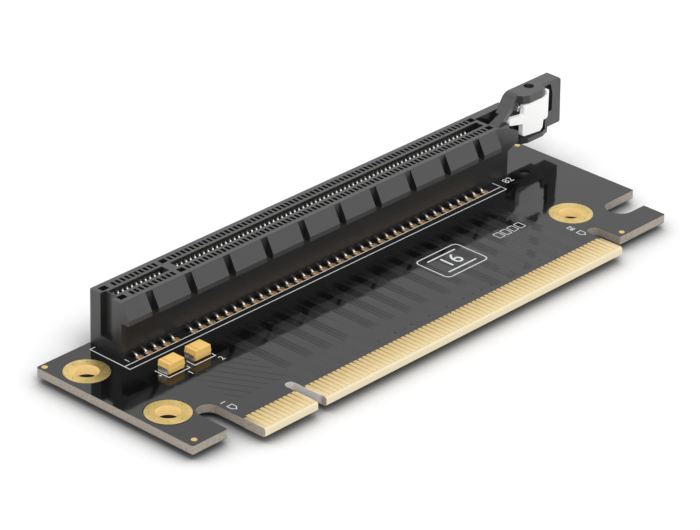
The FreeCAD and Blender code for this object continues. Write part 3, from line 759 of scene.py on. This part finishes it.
cone_profile = [(0.40, 0.03), (0.36, 0.06), (0.28, 0.10), (0.20, 0.13)]
cone_places = [(x, TAIL_ROW + CONE_SHIFT, 0.0) for x in tail_x]
cones = repeat(*lathe(cone_profile, 10), cone_places)
keep("tail_solder_top", *cones, solder, slot="tin_plate", smooth=True)
drop_profile = [(0.21, -0.86), (0.25, -0.62), (0.34, -0.36), (0.5, -0.16), (0.64, -0.06), (0.68, 0.0)]
drop_places = []
for row in range(TAIL_ROWS):
    row_y = TAIL_ROW + TAIL_ROW_STEP * row
    drop_places.extend((x + TAIL_ROW_SHIFT * (row % 2), row_y, BOARD_LOW) for x in tail_x)
drops = repeat(*lathe(drop_profile, 10), drop_places)
keep("tail_solder_under", *drops, solder, slot="tin_plate", smooth=True)

# The foot of the front wall closes round the tails
FOOT_LOW = 0.02
FOOT_HIGH = 0.64
FOOT_BACK = WALL_FRONT + 0.5
FOOT_SIDE = 1.05
foot_edge = [(WALL_FRONT, FOOT_HIGH), (WALL_FRONT, FOOT_LOW), (FOOT_BACK, FOOT_LOW), (FOOT_BACK, FOOT_HIGH)]
foot_ends = (tail_x[0] - FOOT_SIDE, tail_x[-1] + FOOT_SIDE)
foot_points = [(end, y, z) for end in foot_ends for y, z in foot_edge]
keep("slot_foot", foot_points, skin(2, 4), slot_black, slot="slot_black")

# Spring contacts on both walls of the slot, each with a polished tip
CONTACT_SHIFT = 1.7
TIP_REACH = 0.74
TIP_HEIGHT = 8.72
contact_x = [number + CONTACT_SHIFT for number in (*range(-12, -1), *range(1, 72))]
contact_shape = [
    (0.98, 2.62), (0.86, 3.6), (0.52, 5.0), (0.36, 6.0), (0.37, 6.5), (0.50, 7.2), (0.72, 8.1),
    (0.82, 8.6), (0.90, 9.0), (1.0, 9.38),
]
bend = np.radians(np.linspace(-80, 80, 7))
tip = lathe(np.column_stack([0.15 * np.cos(bend), 0.20 * np.sin(bend)]), 8)
for side, word in ((1, "back"), (-1, "front")):
    contact_path = [(SLOT_MIDDLE + side * y, z) for y, z in contact_shape]
    blade = bent_wire(contact_path, half_x=0.15, half_thick=0.06, bevel=0.02)
    blades = repeat(*blade, [(x, 0.0, 0.0) for x in contact_x])
    row = keep("contact_blades_" + word, *blades, contact_metal, slot="contact_metal", smooth=True)
    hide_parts("contact_row_" + word)
    tips = repeat(*tip, [(x, SLOT_MIDDLE + side * TIP_REACH, TIP_HEIGHT) for x in contact_x])
    keep("contact_tips_" + word, *tips, contact_tip, slot="contact_metal", smooth=True)

# Small vias in the rings and beside the fingers
VIAS_PER_RING = 8
VIA_CIRCLE = 3.0
RING_THICK = 0.05
MASK_VIA_ROW = 6.6
MASK_VIA_X = (19.92, 23.85, 26.05, 27.74, 31.96, 36.13, 40.28, 42.65, 44.62, 46.92, 51.3, 55.4, 59.2,
              63.3, 66.1)
ring_vias = []
for hole_x, hole_y in HOLES:
    for turn in 2 * np.pi / VIAS_PER_RING * np.arange(VIAS_PER_RING):
        via_place = (hole_x + VIA_CIRCLE * math.cos(turn), hole_y + VIA_CIRCLE * math.sin(turn))
        ring_vias.extend((*via_place, face) for face in (RING_THICK, BOARD_LOW - RING_THICK))
mask_vias = [(x, MASK_VIA_ROW, face) for x in MASK_VIA_X for face in (0.0, BOARD_LOW)]
ring_rim = lathe([(0.19, -0.01), (0.19, 0.008), (0.16, 0.016), (0.11, 0.008), (0.11, -0.01)], 10, closed=True)
mask_rim = lathe([(0.26, -0.01), (0.24, 0.012), (0.16, 0.014), (0.12, -0.01)], 10, closed=True)
core = lathe([(0.11, -0.006), (0.11, 0.006)], 10)
keep("ring_via_rims", *repeat(*ring_rim, ring_vias), ring_gold, slot="gold_plate", smooth=True)
# Painted shade: dark discs in place of the holes of the vias
keep("ring_via_hollows", *repeat(*core, ring_vias), hollow, slot="gold_plate")
keep("mask_via_rims", *repeat(*mask_rim, mask_vias), board_black, slot="board_black", smooth=True)
# Painted shade: dark discs in place of the holes of the vias
keep("mask_via_hollows", *repeat(*core, mask_vias), hollow, slot="board_black")

# Capacitors
for letter in ("a", "b"):
    node = "capacitor_%s_body" % letter
    low, high = [np.array(corner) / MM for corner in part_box(node)]
    finish = capacitor_finish("capacitor_%s_epoxy" % letter, float(low[0]))
    shape = moulded_block(low, high, draft=0.1, radius=0.1, steps=3)
    block = keep("capacitor_%s_moulding" % letter, *shape, finish, slot="capacitor_yellow")
    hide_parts(node)

# Latch spring
low, high = [np.array(corner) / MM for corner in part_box("latch_spring")]
COIL_WIRE = 0.12
COIL_END = 0.13
spring_length = high[1] - low[1] - 2 * COIL_END
spring_shape = coil((low + high) / 2, radius=0.47, wire=COIL_WIRE, length=spring_length, turns=4.3, sides=8)
spring = keep("spring_coil", *spring_shape, steel, slot="steel", smooth=True)
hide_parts("latch_spring")

# Soft edges on the moulded plastic
rounded_copy("slot_housing", "slot_moulding", 0.07, slot_black, "card")
rounded_copy("latch", "latch_moulding", 0.16, latch_white, "latch")


# Floor, light and camera
def floor_finish():
    """White floor, to which the camera sees a little light added, so that only the shadow shows. The shadow
    beside the part is painted from ambient occlusion.
    """
    f = Finish("floor_white")
    cloud = f.noise(0.004)
    white = f.mix((0.93, 0.93, 0.93), (0.95, 0.95, 0.95), cloud)
    # Painted shadow: 1 on open floor and less beside the part, except behind it and past its right end; where
    # it is less, the floor is painted dark grey
    clear = f.add("AmbientOcclusion", {"samples": 12}, {"Distance": 12.0 * MM}, "AO")
    clear = clear.most(f.y.above(42.0, 8.0)).most(f.x.above(103.0, 6.0))
    colour = f.mix((0.20, 0.20, 0.205), white, clear.above(0.71, 0.25))
    plain = f.add("BsdfDiffuse", {}, {"Color": colour})
    seen = f.add("LightPath", {}, {}, "Is Camera Ray")
    for ray in ("Is Glossy Ray", "Is Transmission Ray"):
        seen = seen.most(f.add("LightPath", {}, {}, ray))
    glow = f.add("Emission", {}, {"Color": (1.0, 1.0, 1.0, 1.0), "Strength": 0.10 * clear * seen})
    f.add_output(f.add("AddShader", {}, {0: plain, 1: glow}))
    return f.material


FLOOR_Z = -2.62
FLOOR_HALF = 6000.0
floor_corners = np.array([(-1, -1, 0), (1, -1, 0), (1, 1, 0), (-1, 1, 0)]) * FLOOR_HALF
floor_mesh = bpy.data.meshes.new("floor")
floor_mesh.from_pydata(((floor_corners + (0, 0, FLOOR_Z)) * MM).tolist(), [], [(0, 1, 2, 3)])
floor_mesh.materials.append(floor_finish())
floor = bpy.data.objects.new("floor", floor_mesh)
scene.collection.objects.link(floor)

# The sky lights the part at one level, and is white where the camera, gloss or glass sees it
SKY_LEVEL = 0.78
world = bpy.data.worlds.new("studio")
scene.world = world
world.use_nodes = True
sky = world.node_tree
sky.nodes.clear()
rays = sky.nodes.new("ShaderNodeLightPath")
seen = rays.outputs["Is Camera Ray"]
for ray in ("Is Glossy Ray", "Is Transmission Ray"):
    either = sky.nodes.new("ShaderNodeMath")
    either.operation = "MAXIMUM"
    sky.links.new(seen, either.inputs[0])
    sky.links.new(rays.outputs[ray], either.inputs[1])
    seen = either.outputs[0]
level = sky.nodes.new("ShaderNodeMapRange")
level.inputs["To Min"].default_value = SKY_LEVEL
level.inputs["To Max"].default_value = 1.0
sky.links.new(seen, level.inputs["Value"])
back = sky.nodes.new("ShaderNodeBackground")
back.inputs["Color"].default_value = (1.0, 1.0, 1.0, 1.0)
sky.links.new(level.outputs[0], back.inputs["Strength"])
end = sky.nodes.new("ShaderNodeOutputWorld")
sky.links.new(back.outputs[0], end.inputs["Surface"])

KEY_FROM = Vector((-0.22, -0.52, 0.83))
key = bpy.data.lights.new("key", "SUN")
key.energy = 0.95
key.angle = math.radians(35)
key_lamp = bpy.data.objects.new("key", key)
key_lamp.rotation_euler = KEY_FROM.to_track_quat("Z", "Y").to_euler()
scene.collection.objects.link(key_lamp)

# The camera stands where the photograph was taken from
AZIMUTH = math.radians(-47.8404)
ELEVATION = math.radians(27.6222)
ROLL = math.radians(1.4982)
DISTANCE = 628.983
TARGET = Vector((35.7174, 27.385, 0.0))
FOCAL_PIXELS = 3843.593
PICTURE_WIDTH = 700.0
SENSOR_WIDTH = 36.0
level_way = math.cos(ELEVATION)
back_way = Vector((math.sin(AZIMUTH) * level_way, -math.cos(AZIMUTH) * level_way, math.sin(ELEVATION)))
right_way = Vector((0, 0, 1)).cross(back_way).normalized()
up_way = back_way.cross(right_way)
turned_right = math.cos(ROLL) * right_way + math.sin(ROLL) * up_way
turned_up = -math.sin(ROLL) * right_way + math.cos(ROLL) * up_way
lens = bpy.data.cameras.new("camera")
lens.sensor_width = SENSOR_WIDTH
lens.lens = FOCAL_PIXELS * SENSOR_WIDTH / PICTURE_WIDTH
lens.clip_start = 0.01
lens.clip_end = 50.0
camera = bpy.data.objects.new("camera", lens)
spot = (TARGET + back_way * DISTANCE) * MM
camera.matrix_world = Matrix((
    (turned_right.x, turned_up.x, back_way.x, spot.x),
    (turned_right.y, turned_up.y, back_way.y, spot.y),
    (turned_right.z, turned_up.z, back_way.z, spot.z),
    (0, 0, 0, 1),
))
scene.collection.objects.link(camera)
scene.camera = camera
